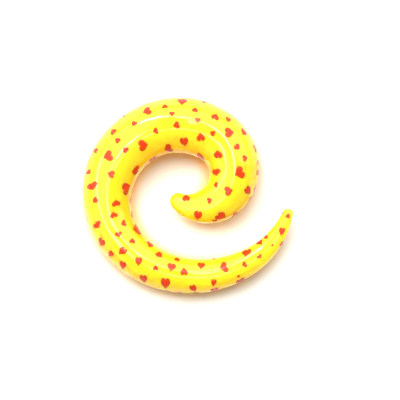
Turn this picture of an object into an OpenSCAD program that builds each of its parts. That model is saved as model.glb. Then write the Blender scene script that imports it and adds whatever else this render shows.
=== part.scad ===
// Spiral ear taper: one solid acrylic rod that winds out round an open eye.
// It starts in a blunt inner end, swells to its full gauge and thins to a fine outer end.
// Sizes are in millimetres. The taper lies on a table, and its origin is on the table,
// in the middle of the rectangle that it covers.

/* [Size] */
// Thickness of the rod at its thickest place, the gauge that it is sold by
gauge = 10; // [8:0.5:11]
// Width of the spiral, from the left of its big turn to its outer end
spiral_w = 37.9; // [36:0.1:45]

/* [Fineness] */
// Steps along the rod, from one end to the other
steps = 100; // [40:1:110]
// Flat faces round the rod, a multiple of four
sides = 40; // [16:4:44]
// Rings on the ball of each rounded end
end_rings = 5; // [3:1:8]

/* [Hidden] */

// Each row is a section of the rod. ANGLE is the way from the middle of the eye to the
// section, in degrees from +X. REACH is how far the rod's centre line is from there, and
// THICK is the rod's thickness, both for a spiral of TABLE_W and a gauge of TABLE_GAUGE.
ANGLE = 0;
REACH = 1;
THICK = 2;
TABLE_W = 37.9;
TABLE_GAUGE = 10;
SECTIONS = [
    // angle, reach, thick
    [-102, 5, 3],         // blunt inner end
    [-84, 5.8, 4.2],
    [-60, 6.85, 5.9],
    [-30, 8.2, 7.8],
    [0, 8.95, 8.9],
    [30, 9.05, 9.5],
    [60, 8.7, 9.85],
    [90, 8.7, 10],        // full gauge, over the eye
    [120, 9.5, 9.8],
    [150, 10.95, 9.6],
    [180, 13.2, 9.2],
    [210, 15.4, 8.2],
    [240, 17.15, 7.4],
    [270, 18.3, 6.45],
    [300, 19.45, 5.15],
    [320, 20.05, 3.7],
    [339, 20.05, 1.95],   // fine outer end
];

// Where the rod of the table touches what it lies on: the angles of three sections
REST_ANGLES = [19.5, 181, 237.5];

FIRST = SECTIONS[0][ANGLE];
LAST = SECTIONS[len(SECTIONS) - 1][ANGLE];
DEG_PER_RAD = 180 / PI;
ROD_COLOUR = [1, 0.93, 0.22];

// Smooth curve through the rows: a natural cubic spline of reach and ball radius over angle.
// knots is the table's first column, and marks is [reach, ball radius] at the sizes asked for.
knots = [for (row = SECTIONS) row[ANGLE]];
marks = [for (row = SECTIONS)
    [row[REACH] * spiral_w / TABLE_W, row[THICK] / 2 * gauge / TABLE_GAUGE]];

// A spline's second derivative at a row hangs on the two rows beside it, and is nothing at
// both ends. Down the rows, each one is written as p - q * (the next one) ...
function downward(i) =
    i == 0 ? [[[0, 0], 0]] :
    let (done = downward(i - 1),
         before = knots[i] - knots[i - 1],
         after = knots[i + 1] - knots[i],
         turn = (marks[i + 1] - marks[i]) / after - (marks[i] - marks[i - 1]) / before,
         pivot = 2 * (before + after) - before * done[i - 1][1])
    concat(done, [[(6 * turn - before * done[i - 1][0]) / pivot, after / pivot]]);
// ... and back up the rows, each one follows from the next.
function upward(steps_down, i) =
    i == len(steps_down) ? [[0, 0]] :
    let (rest = upward(steps_down, i + 1))
    concat([steps_down[i][0] - steps_down[i][1] * rest[0]], rest);
bends = upward(downward(len(knots) - 2), 0);

function row_below(angle) = max([for (i = [0 : len(knots) - 2]) if (knots[i] <= angle) i]);

// [reach, ball radius] at an angle
function size_at(angle) =
    let (i = row_below(angle), gap = knots[i + 1] - knots[i],
         b = (angle - knots[i]) / gap, a = 1 - b)
    a * marks[i] + b * marks[i + 1]
    + ((a^3 - a) * bends[i] + (b^3 - b) * bends[i + 1]) * gap^2 / 6;

// How fast [reach, ball radius] grow there, in mm for each radian
function growth_at(angle) =
    let (i = row_below(angle), gap = knots[i + 1] - knots[i],
         b = (angle - knots[i]) / gap, a = 1 - b)
    ((marks[i + 1] - marks[i]) / gap
     + ((1 - 3 * a^2) * bends[i] + (3 * b^2 - 1) * bends[i + 1]) * gap / 6) * DEG_PER_RAD;

// The rod is the space that a ball fills as it rolls along the centre line and changes size.
// A ball is [centre, heading, radius, growth of the radius for each mm of line].
function ball_at(angle) =
    let (size = size_at(angle), growth = growth_at(angle),
         outward = [cos(angle), sin(angle), 0], onward = [-sin(angle), cos(angle), 0],
         run = growth[0] * outward + size[0] * onward)
    [size[0] * outward, run / norm(run), size[1], growth[1] / norm(run)];

// The ring of a ball at tip degrees from its heading: [centre, heading, radius]
function ring_of(ball, tip) =
    [ball[0] + ball[1] * ball[2] * cos(tip), ball[1], ball[2] * sin(tip)];

// Neighbouring balls share the ring where the skin touches them
function touch(ball) = acos(-ball[3]);

first_ball = ball_at(FIRST);
last_ball = ball_at(LAST);
rings = concat(
    [for (k = [1 : end_rings])
        ring_of(first_ball, 180 + (touch(first_ball) - 180) * k / (end_rings + 1))],
    [for (i = [0 : steps])
        let (ball = ball_at(FIRST + (LAST - FIRST) * i / steps)) ring_of(ball, touch(ball))],
    [for (k = [end_rings : -1 : 1])
        ring_of(last_ball, touch(last_ball) * k / (end_rings + 1))]
);

// Points of one ring, anticlockwise as seen from where the rod is heading
function ring_points(ring) =
    let (inward = cross([0, 0, 1], ring[1]))
    [for (k = [0 : sides - 1])
        ring[0] + ring[2] * (cos(360 * k / sides) * inward + sin(360 * k / sides) * [0, 0, 1])];

// A rod of uneven thickness lies a little tipped. up is the direction that is upright once it
// lies there: measured along up, the centres of three balls differ in height by as much as
// their radii do.
rest = [for (angle = REST_ANGLES) ball_at(angle)];
side_a = rest[1][0] - rest[0][0];
side_b = rest[2][0] - rest[0][0];
rise_a = rest[1][2] - rest[0][2];
rise_b = rest[2][2] - rest[0][2];
span = side_a.x * side_b.y - side_a.y * side_b.x;
tip_x = (rise_a * side_b.y - rise_b * side_a.y) / span;
tip_y = (side_a.x * rise_b - side_b.x * rise_a) / span;
up = [tip_x, tip_y, sqrt(1 - tip_x^2 - tip_y^2)];
right = ([1, 0, 0] - up.x * up) / norm([1, 0, 0] - up.x * up);
back = cross(up, right);
function laid(point) = [right * point, back * point, up * point];

inner_pole = ring_of(first_ball, 180)[0];
outer_pole = ring_of(last_ball, 0)[0];
skin = [for (point = concat([inner_pole], [for (ring = rings) each ring_points(ring)], [outer_pole]))
    laid(point)];
low = [for (axis = [0 : 2]) min([for (point = skin) point[axis]])];
high = [for (axis = [0 : 2]) max([for (point = skin) point[axis]])];
origin = [(low.x + high.x) / 2, (low.y + high.y) / 2, low.z];

// Number of point k of ring j in skin, counting on past the last side to the first
function at(j, k) = 1 + j * sides + k % sides;

module spiral_taper() {
    last_ring = len(rings) - 1;
    around = [0 : sides - 1];
    faces = concat(
        [for (k = around) [0, at(0, k), at(0, k + 1)]],
        [for (j = [0 : last_ring - 1], k = around) each [
            [at(j, k), at(j + 1, k), at(j + 1, k + 1)],
            [at(j, k), at(j + 1, k + 1), at(j, k + 1)]]],
        [for (k = around) [len(skin) - 1, at(last_ring, k + 1), at(last_ring, k)]]
    );
    color(ROD_COLOUR)
        polyhedron([for (point = skin) point - origin], faces);
}

spiral_taper();
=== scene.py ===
# %% [markdown]
# Spiral ear taper, dressed
#
# The real thing is one rod of solid acrylic, bent into a flat open spiral. It is yellow all
# through, printed with red hearts and polished until it mirrors the lamps. This lesson makes
# its skin, its print and a small photo studio round it. The taper's own sizes are typed in
# millimetres, and MM brings them to metres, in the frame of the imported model: the table is
# z = 0, and the taper lies over its middle.

import bpy
import numpy as np
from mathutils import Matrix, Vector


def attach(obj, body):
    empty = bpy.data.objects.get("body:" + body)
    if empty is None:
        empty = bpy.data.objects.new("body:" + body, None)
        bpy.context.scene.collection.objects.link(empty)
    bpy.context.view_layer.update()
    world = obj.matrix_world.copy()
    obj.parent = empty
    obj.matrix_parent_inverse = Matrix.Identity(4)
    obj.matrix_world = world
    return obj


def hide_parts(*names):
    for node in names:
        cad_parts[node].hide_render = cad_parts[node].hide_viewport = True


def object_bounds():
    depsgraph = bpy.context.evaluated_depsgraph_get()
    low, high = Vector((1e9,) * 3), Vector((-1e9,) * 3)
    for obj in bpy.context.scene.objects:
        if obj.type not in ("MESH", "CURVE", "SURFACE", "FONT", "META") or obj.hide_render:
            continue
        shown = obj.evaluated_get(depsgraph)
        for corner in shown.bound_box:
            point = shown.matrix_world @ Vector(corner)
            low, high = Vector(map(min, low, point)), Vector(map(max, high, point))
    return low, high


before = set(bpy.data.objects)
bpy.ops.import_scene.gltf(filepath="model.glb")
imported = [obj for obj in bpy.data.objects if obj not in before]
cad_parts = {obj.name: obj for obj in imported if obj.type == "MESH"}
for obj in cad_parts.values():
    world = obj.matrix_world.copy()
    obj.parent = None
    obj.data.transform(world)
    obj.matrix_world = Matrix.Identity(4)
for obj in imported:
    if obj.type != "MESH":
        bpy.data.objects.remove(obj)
cad_box = [list(corner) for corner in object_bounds()]
MM = 0.001
print("packed model:", sorted(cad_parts), "box", cad_box)

# %% [markdown]
# The shape of the rod
#
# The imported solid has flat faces, and a polished rod shows each one in its highlights. So the
# skin is made again from the same few sizes, as a smooth surface. The rod is the space that a
# ball fills as it rolls along a line and changes size. Each row of the table below is one
# place on that line: its direction from the middle of the eye, how far out it is, and how
# thick the rod is there.

# %% Sections of the rod
SECTIONS = np.array([
    # angle in degrees, reach in mm, thickness in mm
    (-102, 5, 3),         # blunt inner end
    (-84, 5.8, 4.2),
    (-60, 6.85, 5.9),
    (-30, 8.2, 7.8),
    (0, 8.95, 8.9),
    (30, 9.05, 9.5),
    (60, 8.7, 9.85),
    (90, 8.7, 10),        # full gauge, over the eye
    (120, 9.5, 9.8),
    (150, 10.95, 9.6),
    (180, 13.2, 9.2),
    (210, 15.4, 8.2),
    (240, 17.15, 7.4),
    (270, 18.3, 6.45),
    (300, 19.45, 5.15),
    (320, 20.05, 3.7),
    (339, 20.05, 1.95),   # fine outer end
])
REST_ANGLES = np.array([19.5, 181, 237.5])   # the three places that touch the table
KNOTS = SECTIONS[:, 0]
MARKS = SECTIONS[:, 1:] * [MM, MM / 2]     # reach and ball radius, in metres


def spline_bends(knots, marks):
    """Second derivatives of the natural cubic spline through the rows.

    They are nothing at both ends. At each row between, a sixth of gap-before times the bend
    before, a third of both gaps times its own bend, and a sixth of gap-after times the bend
    after add up to the change of slope there. All rows are solved together."""
    gap = np.diff(knots)
    slope = np.diff(marks, axis=0) / gap[:, None]
    ties = np.diag(np.append(np.append(1, (gap[:-1] + gap[1:]) / 3), 1))
    inner = np.arange(1, len(knots) - 1)
    ties[inner, inner - 1] = gap[:-1] / 6
    ties[inner, inner + 1] = gap[1:] / 6
    change = np.zeros_like(marks)
    change[1:-1] = np.diff(slope, axis=0)
    return np.linalg.solve(ties, change)


BENDS = spline_bends(KNOTS, MARKS)
print("rows:", len(SECTIONS), "from", KNOTS[0], "to", KNOTS[-1], "degrees")


# %% Balls on the line
def balls(angle):
    """Centre, heading, radius and growth of the ball at each angle, in the spiral's own plane.

    Between two rows the spline is a * this row + b * the next one, plus (a^3 - a) and
    (b^3 - b) times a sixth of their bends times the gap squared. The centre is reach times
    the unit vector at the angle; heading is its derivative, made unit length; growth is the
    radius gained for each metre of line."""
    angle = np.atleast_1d(np.asarray(angle, float))
    i = np.clip(np.searchsorted(KNOTS, angle, side="right") - 1, 0, len(KNOTS) - 2)
    gap = (KNOTS[i + 1] - KNOTS[i])[:, None]
    b = (angle - KNOTS[i])[:, None] / gap
    a = 1 - b
    size = a * MARKS[i] + b * MARKS[i + 1] \
        + ((a**3 - a) * BENDS[i] + (b**3 - b) * BENDS[i + 1]) * gap**2 / 6
    change = (MARKS[i + 1] - MARKS[i]) / gap \
        + ((1 - 3 * a**2) * BENDS[i] + (3 * b**2 - 1) * BENDS[i + 1]) * gap / 6
    change = np.degrees(change)                     # change for each radian, not each degree
    turn = np.radians(angle)
    outward = np.stack([np.cos(turn), np.sin(turn), 0 * turn], axis=1)
    onward = np.stack([-np.sin(turn), np.cos(turn), 0 * turn], axis=1)
    run = change[:, :1] * outward + size[:, :1] * onward
    pace = np.linalg.norm(run, axis=1)
    return size[:, :1] * outward, run / pace[:, None], size[:, 1], change[:, 1] / pace


every_degree = np.arange(KNOTS[0], KNOTS[-1])
thickest = 2 * balls(every_degree)[2].max()
print("rod at its thickest:", round(float(thickest) / MM, 2), "mm")

# %% [markdown]
# How it lies
#
# A rod of uneven thickness doesn't lie level: it tips until three places touch the table. A
# rigid body simulation could drop it there. It is quicker and exact to work the tilt out from
# those three balls, whose centres must end up one radius above the table.

# %% Tilt of the lying taper
def laid_axes(centre, radius):
    """Rows are the table's X, Y and up, written in the spiral's own axes.

    up leans by (p, q) so that up . centre + lift is the radius at all three balls: two
    differences give p and q, and the rest of the unit vector stands upright."""
    lean = np.linalg.solve((centre[1:] - centre[0])[:, :2], radius[1:] - radius[0])
    up = np.array([*lean, np.sqrt(1 - lean @ lean)])
    right = np.array([1.0, 0, 0]) - up[0] * up
    right /= np.linalg.norm(right)
    return np.array([right, np.cross(up, right), up])


rest_centre, _, rest_radius, _ = balls(REST_ANGLES)
LAID = laid_axes(rest_centre, rest_radius)
print("tilt of the lying taper:", round(float(np.degrees(np.arccos(LAID[2, 2]))), 2), "degrees")

# %% [markdown]
# The skin
#
# A surface like this could be a curve with a taper object, or rings skinned by hand. Here it
# is one grid: rings along the rod, points round each ring. Neighbouring balls share the ring
# where the skin touches them, which sits a little behind a growing ball's middle. The last
# ball at each end closes with rings up to its pole.

# %% Rings of the skin
STEPS = 620          # rings along the rod
SIDES = 96           # points round each ring
END_RINGS = 14       # rings on the ball of each end


def ring_grid():
    """Centres, headings and radii of every ring, from the inner pole to the outer one.

    Seen from a ball's centre, a ring lies at an angle tip off the heading. Its middle is
    radius * cos(tip) ahead of the ball's centre, and its own radius is radius * sin(tip). The
    ring where the skin touches the ball has cos(tip) = -growth."""
    centre, heading, radius, growth = balls(np.linspace(KNOTS[0], KNOTS[-1], STEPS + 1))
    tip = np.arccos(-growth)
    start = np.linspace(np.pi, tip[0], END_RINGS + 2)[1:-1]
    finish = np.linspace(tip[-1], 0, END_RINGS + 2)[1:-1]
    ball = np.concatenate([np.zeros(END_RINGS, int), np.arange(STEPS + 1), np.full(END_RINGS, STEPS)])
    tip = np.concatenate([start, tip, finish])
    middle = centre[ball] + (radius[ball] * np.cos(tip))[:, None] * heading[ball]
    poles = centre[[0, -1]] + heading[[0, -1]] * (radius[[0, -1]] * [-1, 1])[:, None]
    return middle, heading[ball], radius[ball] * np.sin(tip), poles


def skin_points():
    """Points of the skin, turned to the way that the taper lies.

    A ring's point at v is its middle + its radius * (cos v * inward + sin v * upright)."""
    middle, heading, radius, poles = ring_grid()
    v = np.linspace(0, 2 * np.pi, SIDES, endpoint=False)
    inward = np.stack([-heading[:, 1], heading[:, 0], 0 * radius], axis=1)
    ring = np.cos(v)[None, :, None] * inward[:, None] + np.sin(v)[None, :, None] * [0, 0, 1]
    grid = middle[:, None] + radius[:, None, None] * ring
    return np.concatenate([poles[:1], grid.reshape(-1, 3), poles[1:]]) @ LAID.T


skin = skin_points()
# The frame's origin is the place on the table under the middle of the taper.
ORIGIN = np.append((skin.min(0) + skin.max(0))[:2] / 2, LAID[2] @ rest_centre[0] - rest_radius[0])
skin -= ORIGIN
gap = np.abs(np.array([skin.min(0), skin.max(0)]) - cad_box).max()
print("skin:", len(skin), "points, box within", round(gap / MM, 3), "mm of the packed one")


# %% Mesh from a grid
def mesh_object(name, points, faces, smooth=True):
    """A mesh object at the origin from an array of points and a list of arrays of faces."""
    mesh = bpy.data.meshes.new(name)
    mesh.from_pydata(points.tolist(), [], [row for part in faces for row in part.tolist()])
    mesh.validate()
    mesh.polygons.foreach_set("use_smooth", np.full(len(mesh.polygons), smooth))
    mesh.update()
    thing = bpy.data.objects.new(name, mesh)
    bpy.context.scene.collection.objects.link(thing)
    return thing


def tube_faces(rings, sides):
    """Faces of a closed grid of rings with a pole at each end: point 0, the rings, last point.

    Corner (j, k) of the grid is point 1 + j * sides + k, and k runs round to 0 again."""
    j, k = np.meshgrid(np.arange(rings - 1), np.arange(sides), indexing="ij")
    near, far = 1 + j * sides + k, 1 + j * sides + (k + 1) % sides
    walls = np.stack([near, far, far + sides, near + sides], axis=-1).reshape(-1, 4)
    side = np.arange(sides)
    first = np.stack([0 * side, 1 + (side + 1) % sides, 1 + side], axis=1)
    base = 1 + (rings - 1) * sides
    last = np.stack([0 * side + base + sides, base + side, base + (side + 1) % sides], axis=1)
    return [walls, first, last]


rings = STEPS + 1 + 2 * END_RINGS
body = mesh_object("polished_rod", skin, tube_faces(rings, SIDES))
print("polished rod:", len(body.data.polygons), "faces")


# %% [markdown]
# The printed hearts
#
# About a hundred hearts show in the photo. Each one is charted: where it is along the
# rod and round it, how wide and tall it is, and where its point turns. The hearts on the side
# that the photo doesn't show are scattered. Each heart is a thin film of ink: a closed sheet
# that stands a little proud of the skin, with its underside just below it. An image texture
# would need the whole rod unrolled first; a film needs only its own place.

# %% Chart of the hearts
HEARTS = np.array([
    # angle along the rod and side round it in degrees, width and height in mm, turn in degrees
    # the inner end and the right of the eye
    (-120.5, -98, 1.2, 1.2, 0), (-85, -50, 1.3, 1.85, 195), (-62.5, 31, 1.4, 2.2, 348),
    (-46.5, 59.5, 0.9, 1.0, 0), (-41, -18, 1.1, 0.95, 78), (-39.5, 46, 2.0, 2.1, 30),
    (-30, 74, 1.4, 2.5, 180), (-16, -1, 1.65, 1.5, 38), (-17, -40, 0.95, 0.95, 200),
    (-15, 80, 1.0, 2.0, 180), (-8, 79, 0.8, 1.4, 0), (-10, 48, 1.3, 2.1, 335),
    (4.5, 10.5, 2.25, 1.8, 203), (4, 75, 0.9, 1.8, 0), (11, 78, 0.8, 1.4, 0),
    (5, -47, 2.2, 1.2, 280), (17, 29, 1.1, 1.0, 355),
    # over the eye
    (21, 80, 1.5, 2.2, 0), (28.5, 20.5, 1.1, 1.05, 283), (34.8, -23.5, 1.55, 1.6, 55),
    (35, 58.5, 1.4, 1.6, 195), (43, 27.5, 1.8, 1.75, 317), (50.5, 51, 1.0, 1.2, 200),
    (57, 3.5, 0.9, 1.0, 95), (56.5, -63, 1.4, 2.2, 28), (61.5, 40, 1.4, 1.4, 5),
    (68, -13.5, 1.35, 1.6, 27), (74.8, 77, 1.0, 2.0, 180), (76.5, 16.5, 0.95, 0.9, 185),
    (81, 40, 1.0, 1.05, 355), (87.5, -35, 1.4, 2.0, 192), (93.3, 60, 1.65, 2.5, 180),
    (98.5, 1.5, 1.25, 1.15, 105), (102.3, 25.5, 0.9, 0.9, 175), (108, 48, 0.95, 1.1, 0),
    (112, -54, 2.7, 1.4, 100), (122, -2.5, 1.1, 0.85, 90), (123.5, 47.5, 2.05, 1.55, 95),
    # down the left
    (137, 32, 1.0, 1.0, 125), (140, -18.5, 2.1, 1.7, 250), (141, -76, 1.5, 2.0, 180),
    (140.5, 78, 1.2, 1.8, 180), (153, 54, 1.2, 1.5, 0), (155, 27.5, 0.95, 1.1, 5),
    (156, 0.5, 1.05, 1.05, 0), (166, -52, 1.9, 1.5, 38), (168, 22.5, 1.95, 1.8, 48),
    (169.3, 67, 0.85, 2.2, 5), (176.3, 82, 0.7, 1.4, 0), (178, -1, 1.25, 1.25, 0),
    (182, 60, 0.8, 1.9, 25), (185.7, -51.5, 2.35, 1.95, 215), (189, 36.5, 2.6, 1.35, 117),
    (197, 28.5, 0.95, 1.25, 38), (198, -80, 1.3, 1.3, 0), (199, -24, 1.65, 1.15, 277),
    (207, 83, 0.6, 1.6, 0), (207.5, -13, 1.4, 1.05, 272), (211.5, 37.5, 2.2, 1.1, 111),
    (212.5, -76, 1.3, 1.2, 0),
    # round the bottom
    (216, -31, 1.1, 1.0, 0), (221, 53, 1.4, 2.1, 28), (221.5, -6, 1.2, 0.9, 75),
    (225.3, -63.5, 2.0, 2.1, 337), (228.5, 49, 0.95, 1.75, 10), (230, -28, 1.05, 0.95, 220),
    (231, 13.5, 1.25, 1.7, 0), (237, 47, 1.2, 2.2, 25), (242, 4, 1.2, 1.6, 30),
    (241.5, -63.5, 1.35, 1.6, 5), (249.4, 47.5, 1.3, 2.2, 25), (251.3, -47.5, 1.35, 1.35, 65),
    (252.3, -6, 0.85, 0.95, 200), (260.5, 35, 1.6, 2.6, 12), (261.2, -22, 1.45, 1.6, 5),
    (262.5, 80, 0.9, 1.2, 0), (263.5, -60.5, 0.9, 1.2, 185), (268.5, 78, 1.0, 1.3, 0),
    (269, -19, 1.25, 1.45, 190), (275, 43.5, 1.1, 2.1, 20), (276.5, 78, 1.0, 1.4, 0),
    (279.2, -42, 1.3, 1.5, 350), (285.2, 72, 1.4, 2.2, 0), (285.2, 26, 0.9, 1.5, 345),
    (287.5, -80, 0.8, 1.2, 0), (292, -25, 2.1, 1.4, 272),
    # up to the fine end
    (298, 31.5, 0.5, 0.5, 0), (298, 71, 1.6, 2.2, 0), (303, -4, 1.05, 0.85, 270),
    (307, -49, 1.8, 1.95, 325), (312, 4, 0.95, 0.65, 0), (317, -61, 1.25, 1.9, 5),
    (320.7, 9, 0.4, 0.4, 0), (321.7, -58, 0.8, 1.3, 0), (324, 71, 0.9, 1.3, 0),
    (329, 9.5, 1.1, 1.5, 290), (337.5, 7, 0.85, 0.95, 330), (338, -78, 0.7, 0.9, 0),
])
print("charted hearts:", len(HEARTS))


# %% Outline of a heart
OUTLINE = 48         # points on the outline of a heart


def heart_outline():
    """Outline of a heart one wide and one tall whose point is at +X.

    Across is half the cube of sin t. Along is 13 cos t less 4 cos 2t, 2 cos 3t and cos 4t,
    turned over, centred and brought to one tall. Rows are (along, across)."""
    t = np.linspace(0, 2 * np.pi, OUTLINE, endpoint=False)
    along = -(13 * np.cos(t) - 4 * np.cos(2 * t) - 2 * np.cos(3 * t) - np.cos(4 * t))
    along = (along - (along.max() + along.min()) / 2) / np.ptp(along)
    return np.stack([along, np.sin(t) ** 3 / 2], axis=1)


print("outline of a heart:", len(heart_outline()), "points")


# %% Places on the skin
def skin_place(angle, side):
    """Point, outward tangent and onward tangent of the skin at an angle and a side.

    The normal leans from the heading by tip, whose cosine is -growth. Past either end of the
    table tip runs on over the rounded end, by the arc that the line would have gone on for."""
    held = np.clip(angle, KNOTS[0], KNOTS[-1])
    centre, heading, radius, growth = (value[0] for value in balls(held))
    tip = np.arccos(-growth) - np.radians(angle - held) * np.linalg.norm(centre) / radius
    outward = np.array([heading[1], -heading[0], 0])
    around = np.radians(side)
    ring = np.sin(around) * outward + np.cos(around) * np.array([0, 0, 1])
    normal = np.cos(tip) * heading + np.sin(tip) * ring
    tangent = np.cos(around) * outward - np.sin(around) * np.array([0, 0, 1])
    return centre + radius * normal, tangent, np.cross(normal, tangent)


print("skin at 90 degrees, side 0:", (skin_place(90, 0)[0] / MM).round(2), "mm from the spiral's middle")

# %% Dropping points on the skin
PER_DEGREE = 5       # places on the line for each degree
LINE = np.linspace(KNOTS[0], KNOTS[-1], round((KNOTS[-1] - KNOTS[0]) * PER_DEGREE) + 1)
LINE_CENTRE, _, LINE_RADIUS, _ = balls(LINE)


def drop_on_skin(points):
    """Foot of each point on the skin, and the direction straight out of the skin there.

    The foot is on the ball whose surface is nearest. The nearest of the sampled balls and the
    two beside it give a parabola of distance over angle, and its lowest place is the ball."""
    far = np.linalg.norm(points[:, None] - LINE_CENTRE[None], axis=2) - LINE_RADIUS
    i = np.clip(far.argmin(axis=1), 1, len(LINE) - 2)
    row = np.arange(len(points))
    before, here, after = far[row, i - 1], far[row, i], far[row, i + 1]
    step = (before - after) / (2 * (before - 2 * here + after))
    angle = np.clip(LINE[i] + np.clip(step, -1, 1) * (LINE[1] - LINE[0]), KNOTS[0], KNOTS[-1])
    centre, _, radius, _ = balls(angle)
    out = points - centre
    out /= np.linalg.norm(out, axis=1)[:, None]
    return centre + radius[:, None] * out, out


print("balls sampled along the line:", len(LINE))

# %% Hearts on the hidden side
HIDDEN_SIDES = (102, 258)              # degrees round the rod, past the charted hearts
HIDDEN_WIDTHS = (0.9, 1.1, 1.4, 1.9)   # mm
HIDDEN_TALL = 0.9                      # height of a heart for each mm of its width
FULL_ROD = 2.5 * MM                    # hearts are smaller where the rod's radius is less
CROWDED = 14 * 4.6 * MM * MM           # reach times radius where every place is tried
CLEAR = 0.55                           # mm between a new heart and its neighbours, at least
LOWEST = 0.25 * MM                     # no heart is centred on skin lower than this
TRIES = 6000


def hidden_hearts(chart, count, seed):
    """Rows like the chart's, on the side that faces the table, none touching another heart.

    A place is kept if it is farther from every heart than half of both widths and a gap. The
    lowest places stay bare, as ink there would reach through the table."""
    rng = np.random.default_rng(seed)
    taken = [(skin_place(row[0], row[1])[0], row[2:4].max() * MM / 2) for row in chart]
    new = []
    for _ in range(TRIES):
        angle = float(rng.uniform(KNOTS[0], KNOTS[-1]))
        centre, _, radius, _ = (value[0] for value in balls(angle))
        if rng.uniform() > np.linalg.norm(centre) * radius / CROWDED:
            continue                                # fewer tries where there is less skin
        side = float(rng.uniform(*HIDDEN_SIDES))
        width = float(rng.choice(HIDDEN_WIDTHS)) * min(1, radius / FULL_ROD)
        spot = skin_place(angle, side)[0]
        if LAID[2] @ spot - ORIGIN[2] < LOWEST:
            continue
        if all(np.linalg.norm(spot - other) > room + (width / 2 + CLEAR) * MM for other, room in taken):
            taken.append((spot, width * MM / 2))
            new.append((angle, side, width, width * HIDDEN_TALL, float(rng.uniform(0, 360))))
        if len(new) == count:
            break
    return np.array(new)


hidden = hidden_hearts(HEARTS, count=90, seed=4)
print("hearts on the hidden side:", len(hidden))


# %% Film of ink
INK_RINGS = 4                          # rings of ink from a heart's middle to its outline
INK_HIGH = 0.008 * MM                  # how far the ink stands above the skin
INK_DEEP = 0.05 * MM                   # how far its back lies under the skin
SPREAD = 0.1                           # mm added to the chart's widths and heights


def heart_films(chart):
    """Points and rim shares of every heart: its middle, its rings, its lower ring, its back.

    A ring's point is the heart's outline scaled by the ring's share, turned, and laid on the
    tangent plane, then dropped on the skin and lifted by the height of the ink."""
    outline = heart_outline()
    share = np.append(np.linspace(0, 1, INK_RINGS + 1)[1:], 1)
    lift = np.append(np.full(INK_RINGS, INK_HIGH), -INK_DEEP)
    flat = np.concatenate([[[0, 0]], (share[:, None, None] * outline).reshape(-1, 2), [[0, 0]]])
    raise_by = np.concatenate([[INK_HIGH], np.repeat(lift, OUTLINE), [-INK_DEEP]])
    points = []
    for angle, side, width, height, turn in chart:
        spot, outward, onward = skin_place(angle, side)
        across, along = flat[:, 1] * (width + SPREAD) * MM, flat[:, 0] * (height + SPREAD) * MM
        turn = np.radians(turn)
        plane = (along * np.cos(turn) - across * np.sin(turn))[:, None] * outward \
            + (along * np.sin(turn) + across * np.cos(turn))[:, None] * onward
        foot, out = drop_on_skin(spot + plane)
        points.append(foot + raise_by[:, None] * out)
    rim = np.concatenate([[0], np.repeat(share, OUTLINE), [1]])
    return np.concatenate(points) @ LAID.T - ORIGIN, np.tile(rim, len(chart))


films, rim = heart_films(np.concatenate([HEARTS, hidden]))
each = (INK_RINGS + 1) * OUTLINE + 2             # points of one heart
first = np.arange(len(films) // each) * each     # number of each heart's first point
walls, middles, backs = tube_faces(INK_RINGS + 1, OUTLINE)
faces = [(first[:, None, None] + part).reshape(-1, part.shape[1]) for part in (walls, middles, backs)]
ink = mesh_object("heart_print", films, faces)
upper_walls = np.arange(len(walls)) < (INK_RINGS - 1) * OUTLINE
top = np.concatenate([np.tile(upper_walls, len(first)),
                      np.full(len(faces[1]), True), np.full(len(faces[2]), False)])
ink.data.polygons.foreach_set("use_smooth", top)     # the edge and the back stay flat
ink.data.attributes.new("rim", "FLOAT", "POINT").data.foreach_set("value", rim)
print("heart print:", len(first), "hearts,", len(ink.data.polygons), "faces")


# %% [markdown]
# Finish of the acrylic
#
# Yellow acrylic is coloured through and lets a little light in under its surface, so its
# shaded sides glow orange and never go grey. On top is a hard polish that mirrors lamps. A
# plain yellow surface would need its glow painted in. Subsurface scattering works it out from
# the light instead, with red travelling farthest. Faint clouds keep the colour from being
# dead even.

# %% Helpers for the materials
def new_material(name):
    """A node material with its Principled shader and its node tree."""
    material = bpy.data.materials.new(name)
    material.use_nodes = True
    tree = material.node_tree
    return material, tree.nodes["Principled BSDF"], tree


def colour_ramp(tree, factor, stops):
    """Colour Ramp that turns a factor into a colour; each stop is a place and its colour."""
    ramp = tree.nodes.new("ShaderNodeValToRGB")
    while len(ramp.color_ramp.elements) < len(stops):
        ramp.color_ramp.elements.new(1.0)
    for element, (place, colour) in zip(ramp.color_ramp.elements, stops):
        element.position = place
        element.color = (*colour, 1)
    tree.links.new(factor, ramp.inputs["Fac"])
    return ramp.outputs["Color"]


def soft_noise(tree, scale):
    """Cloudy noise in the object's own metres, with about scale clouds to the metre."""
    place = tree.nodes.new("ShaderNodeTexCoord")
    noise = tree.nodes.new("ShaderNodeTexNoise")
    noise.inputs["Scale"].default_value = scale
    noise.inputs["Detail"].default_value = 2
    tree.links.new(place.outputs["Object"], noise.inputs["Vector"])
    return noise.outputs["Fac"]


# %% Yellow acrylic
def yellow_acrylic():
    """Yellow with faint clouds, and light that spreads some millimetres under the polish."""
    material, shader, tree = new_material("yellow_acrylic")
    clouds = soft_noise(tree, 90)
    tint = colour_ramp(tree, clouds, [(0.3, (1.0, 0.63, 0.016)), (0.7, (1.0, 0.68, 0.02))])
    tree.links.new(tint, shader.inputs["Base Color"])
    shader.inputs["Roughness"].default_value = 0.035
    shader.inputs["IOR"].default_value = 1.49
    shader.inputs["Subsurface Weight"].default_value = 1.0
    shader.inputs["Subsurface Radius"].default_value = (1.0, 0.3, 0.05)
    shader.inputs["Subsurface Scale"].default_value = 0.007
    return material


acrylic = yellow_acrylic()
print("acrylic:", len(acrylic.node_tree.nodes), "nodes")

# %% [markdown]
# Finish of the ink
#
# The ink is red and as smooth as the acrylic round it. It is thinnest where it stops, so the
# rim of a heart is browner than its middle. A second, smaller heart could be laid on each one
# for that, but its edge would be too sharp. So the films carry an attribute, rim, that tells
# the material how near the outline a point is, and a fine noise makes the browning uneven.

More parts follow.
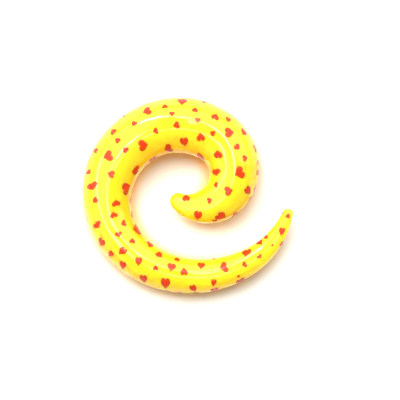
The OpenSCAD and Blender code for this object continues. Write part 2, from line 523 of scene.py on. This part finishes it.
# %% Red ink
def heart_print():
    """Red ink that goes browner along the outline of each heart, a little unevenly."""
    material, shader, tree = new_material("heart_print")
    rim = tree.nodes.new("ShaderNodeAttribute")
    rim.attribute_name = "rim"
    wobble = tree.nodes.new("ShaderNodeMath")
    wobble.operation = "MULTIPLY_ADD"
    wobble.inputs[1].default_value = 0.5             # share of the noise that is added to rim
    tree.links.new(soft_noise(tree, 2500), wobble.inputs[0])
    tree.links.new(rim.outputs["Fac"], wobble.inputs[2])
    tint = colour_ramp(tree, wobble.outputs["Value"],
                       [(0.75, (0.7, 0.036, 0.006)), (1.0, (0.52, 0.055, 0.003))])
    tree.links.new(tint, shader.inputs["Base Color"])
    shader.inputs["Roughness"].default_value = 0.035
    shader.inputs["IOR"].default_value = 1.36
    return material


red_ink = heart_print()
print("ink:", len(red_ink.node_tree.nodes), "nodes")

# %% Finishes on the pieces
for piece, finish, slot in ((body, acrylic, "yellow_acrylic"), (ink, red_ink, "heart_print")):
    piece.data.materials.append(finish)
    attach(piece, "root")
    print(piece.name, "is finished with", piece.data.materials[0].name)
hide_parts("spiral_taper")


# %% [markdown]
# Studio
#
# The taper lies on a white sheet, lit so brightly that the sheet shows pure white. Light that
# has been through the acrylic tints the sheet orange close to the rod. The renderer leaves
# that light out, so an Ambient Occlusion node does it: it tells how much of the nearest few
# millimetres over a point is open, and a ramp turns that into the tint.
#
# A mirror-bright rod shows its whole surroundings. Two softboxes light the taper but don't
# show in it. Roof panels and thin tubes do the opposite: they show as the soft sheen and the
# long white streaks, and light nothing. A dim warm world fills what lies between them.

# %% Floor
SHEET_SIDE = 6.0       # metres
GLOW_PAINT_REACH = 0.004     # metres from the rod within which orange glow and shade are painted into the sheet's colour


def white_sheet():
    """A wide white sheet on the table, with an orange glow painted into it in the shade close to the
    rod.
    """
    half = SHEET_SIDE / 2
    points = np.array([(-half, -half, 0), (half, -half, 0), (half, half, 0), (-half, half, 0)])
    plane = mesh_object("white_sheet", points, [np.array([[0, 1, 2, 3]])], smooth=False)
    material, shader, tree = new_material("white_sheet")
    painted_glow_mask = tree.nodes.new("ShaderNodeAmbientOcclusion")
    painted_glow_mask.inputs["Distance"].default_value = GLOW_PAINT_REACH
    # painted glow and shade: where the rod shades the sheet, its colour turns orange in place of light
    # through the acrylic
    tint = colour_ramp(tree, painted_glow_mask.outputs["AO"],
                       [(0.45, (1.0, 0.68, 0.28)), (0.75, (0.83, 0.81, 0.77))])
    tree.links.new(tint, shader.inputs["Base Color"])
    shader.inputs["Roughness"].default_value = 0.8
    shader.inputs["Specular IOR Level"].default_value = 0.1
    plane.data.materials.append(material)


white_sheet()
print("white sheet:", SHEET_SIDE, "m wide")


# %% Softboxes and roof panels
def lamp(name, start, end, width, height, radiance, lights_things):
    """A strip lamp at a height in metres, between two places given as slopes off upright.

    A slope times the height is how far from the middle the lamp hangs. A lamp of even radiance
    sends out radiance * pi * area. Lamps at one height hide each other where they overlap, so
    tubes, softboxes and roof hang at heights of their own. A lamp either lights things or
    shows in them as a reflection."""
    start, end = np.array(start, float), np.array(end, float)
    along = end - start
    light = bpy.data.lights.new(name, "AREA")
    light.shape = "RECTANGLE"
    light.size = float(np.linalg.norm(along)) * height
    light.size_y = width * height
    light.energy = radiance * np.pi * light.size * light.size_y
    thing = bpy.data.objects.new(name, light)
    thing.location = (*((start + end) / 2 * height), height)
    thing.rotation_euler = (0, 0, float(np.arctan2(along[1], along[0])))
    thing.visible_camera = False
    thing.visible_diffuse = lights_things
    thing.visible_glossy = not lights_things
    bpy.context.scene.collection.objects.link(thing)


PANELS = [
    # name, from, to and width as slopes, height, radiance, whether it lights things
    ("key_softbox", (-0.87, 0.55), (0.3, 0.55), 0.8, 0.62, 9.4, True),
    ("wide_softbox", (-1.9, 0.8), (1.1, 0.8), 2.0, 0.64, 0.8, True),
    ("roof_left", (-4.0, 1.6), (-0.2, 1.6), 4.0, 0.66, 1.8, False),
    ("roof_back", (-0.2, 2.1), (4.0, 2.1), 3.0, 0.66, 1.8, False),
    ("roof_right", (0.4, 0.25), (4.0, 0.25), 0.7, 0.66, 1.8, False),
    ("roof_front", (-4.5, -1.4), (-0.9, -1.4), 2.0, 0.66, 1.0, False),
]
for panel in PANELS:
    lamp(*panel)
print("softboxes and roof panels:", len(PANELS))

# %% [markdown]
# The streaks
#
# The white streaks on the rod look like the bright edges of a tent that the taper was
# photographed in. A whole tent could be modelled and lit, but its shape isn't known. Here the
# edges are short tubes, most of them end to end, each placed by the streak that it makes: a
# mirror shows, at a given tilt of the skin, what lies in one direction and nothing else.

# %% Tubes
TUBES_HIGH = 0.6       # metres
TUBES = [
    # from, to, width, radiance; the first three are slopes, as for the panels
    ((-0.66, 1.06), (-0.3, 0.86), 0.22, 26.0),
    ((-0.3, 0.86), (0.1, 0.61), 0.08, 20.0),
    ((0.1, 0.61), (0.28, 0.47), 0.08, 18.0),
    ((0.28, 0.47), (0.36, 0.2), 0.08, 18.0),
    ((0.36, 0.2), (0.28, -0.08), 0.07, 15.0),
    ((0.28, -0.08), (0.1, -0.23), 0.07, 11.0),
    ((0.1, -0.23), (-0.05, -0.29), 0.07, 7.0),
    ((-0.05, -0.29), (-0.2, -0.39), 0.07, 9.0),
    ((-0.2, -0.39), (-0.36, -0.44), 0.07, 9.0),
    ((-0.36, -0.44), (-0.6, -0.45), 0.07, 12.0),
    ((-0.6, -0.45), (-0.85, -0.36), 0.08, 13.0),
    ((-0.85, -0.36), (-1.25, -0.12), 0.1, 13.0),
    ((-1.25, -0.12), (-1.6, 0.2), 0.15, 15.0),
    ((-1.6, 0.2), (-2.0, 0.9), 0.22, 11.0),
    ((-0.14, 0.04), (-0.18, -0.08), 0.09, 20.0),
    ((-0.17, -0.08), (-0.1, -0.24), 0.06, 8.0),
    ((0.13, 0.44), (0.09, 0.24), 0.08, 12.0),
]
for place, (start, end, width, radiance) in enumerate(TUBES):
    lamp(f"tube_{place}", start, end, width, TUBES_HIGH, radiance, False)
print("tubes:", len(TUBES))

# %% World
WORLD_COLOUR = (1, 0.9, 0.8, 1)
WORLD_STRENGTH = 0.34
world = bpy.data.worlds.new("studio")
world.use_nodes = True
background = world.node_tree.nodes["Background"]
background.inputs["Color"].default_value = WORLD_COLOUR
background.inputs["Strength"].default_value = WORLD_STRENGTH
bpy.context.scene.world = world
print("world strength:", WORLD_STRENGTH)

# %% [markdown]
# Camera
#
# The photo looks straight down at the taper. From far off it would look like a flat plan, and
# from close by its middle would bulge. This camera is as far off as one on a small stand, and
# its lens makes the picture as many millimetres wide, at the height of the eye, as the photo.

# %% Camera
PHOTO_SIDE = 400                       # pixels across the photo
EYE_PIXEL = np.array([184.0, 174.0])   # middle of the spiral's eye in the photo
GAUGE_PIXELS = 55.6                    # the rod's full gauge in the photo
MM_PER_PIXEL = SECTIONS[:, 2].max() / GAUGE_PIXELS
CAMERA_FAR = 0.4                       # metres from the camera down to the height of the eye
SENSOR = 36                            # mm across the camera's sensor


def camera():
    """The scene's camera, straight above the place that is in the middle of the photo."""
    eye = -ORIGIN          # the spiral's own origin, in the middle of its eye
    middle = (PHOTO_SIDE / 2 - EYE_PIXEL) * [1, -1] * MM_PER_PIXEL * MM
    data = bpy.data.cameras.new("camera")
    data.sensor_width = SENSOR
    data.lens = SENSOR * CAMERA_FAR / (PHOTO_SIDE * MM_PER_PIXEL * MM)
    data.clip_start = 0.01
    thing = bpy.data.objects.new("camera", data)
    thing.location = (eye[0] + middle[0], eye[1] + middle[1], eye[2] + CAMERA_FAR)
    bpy.context.scene.collection.objects.link(thing)
    bpy.context.scene.camera = thing


camera()
bpy.context.scene.view_settings.view_transform = "Standard"
print("camera at", [round(value, 4) for value in bpy.context.scene.camera.location])
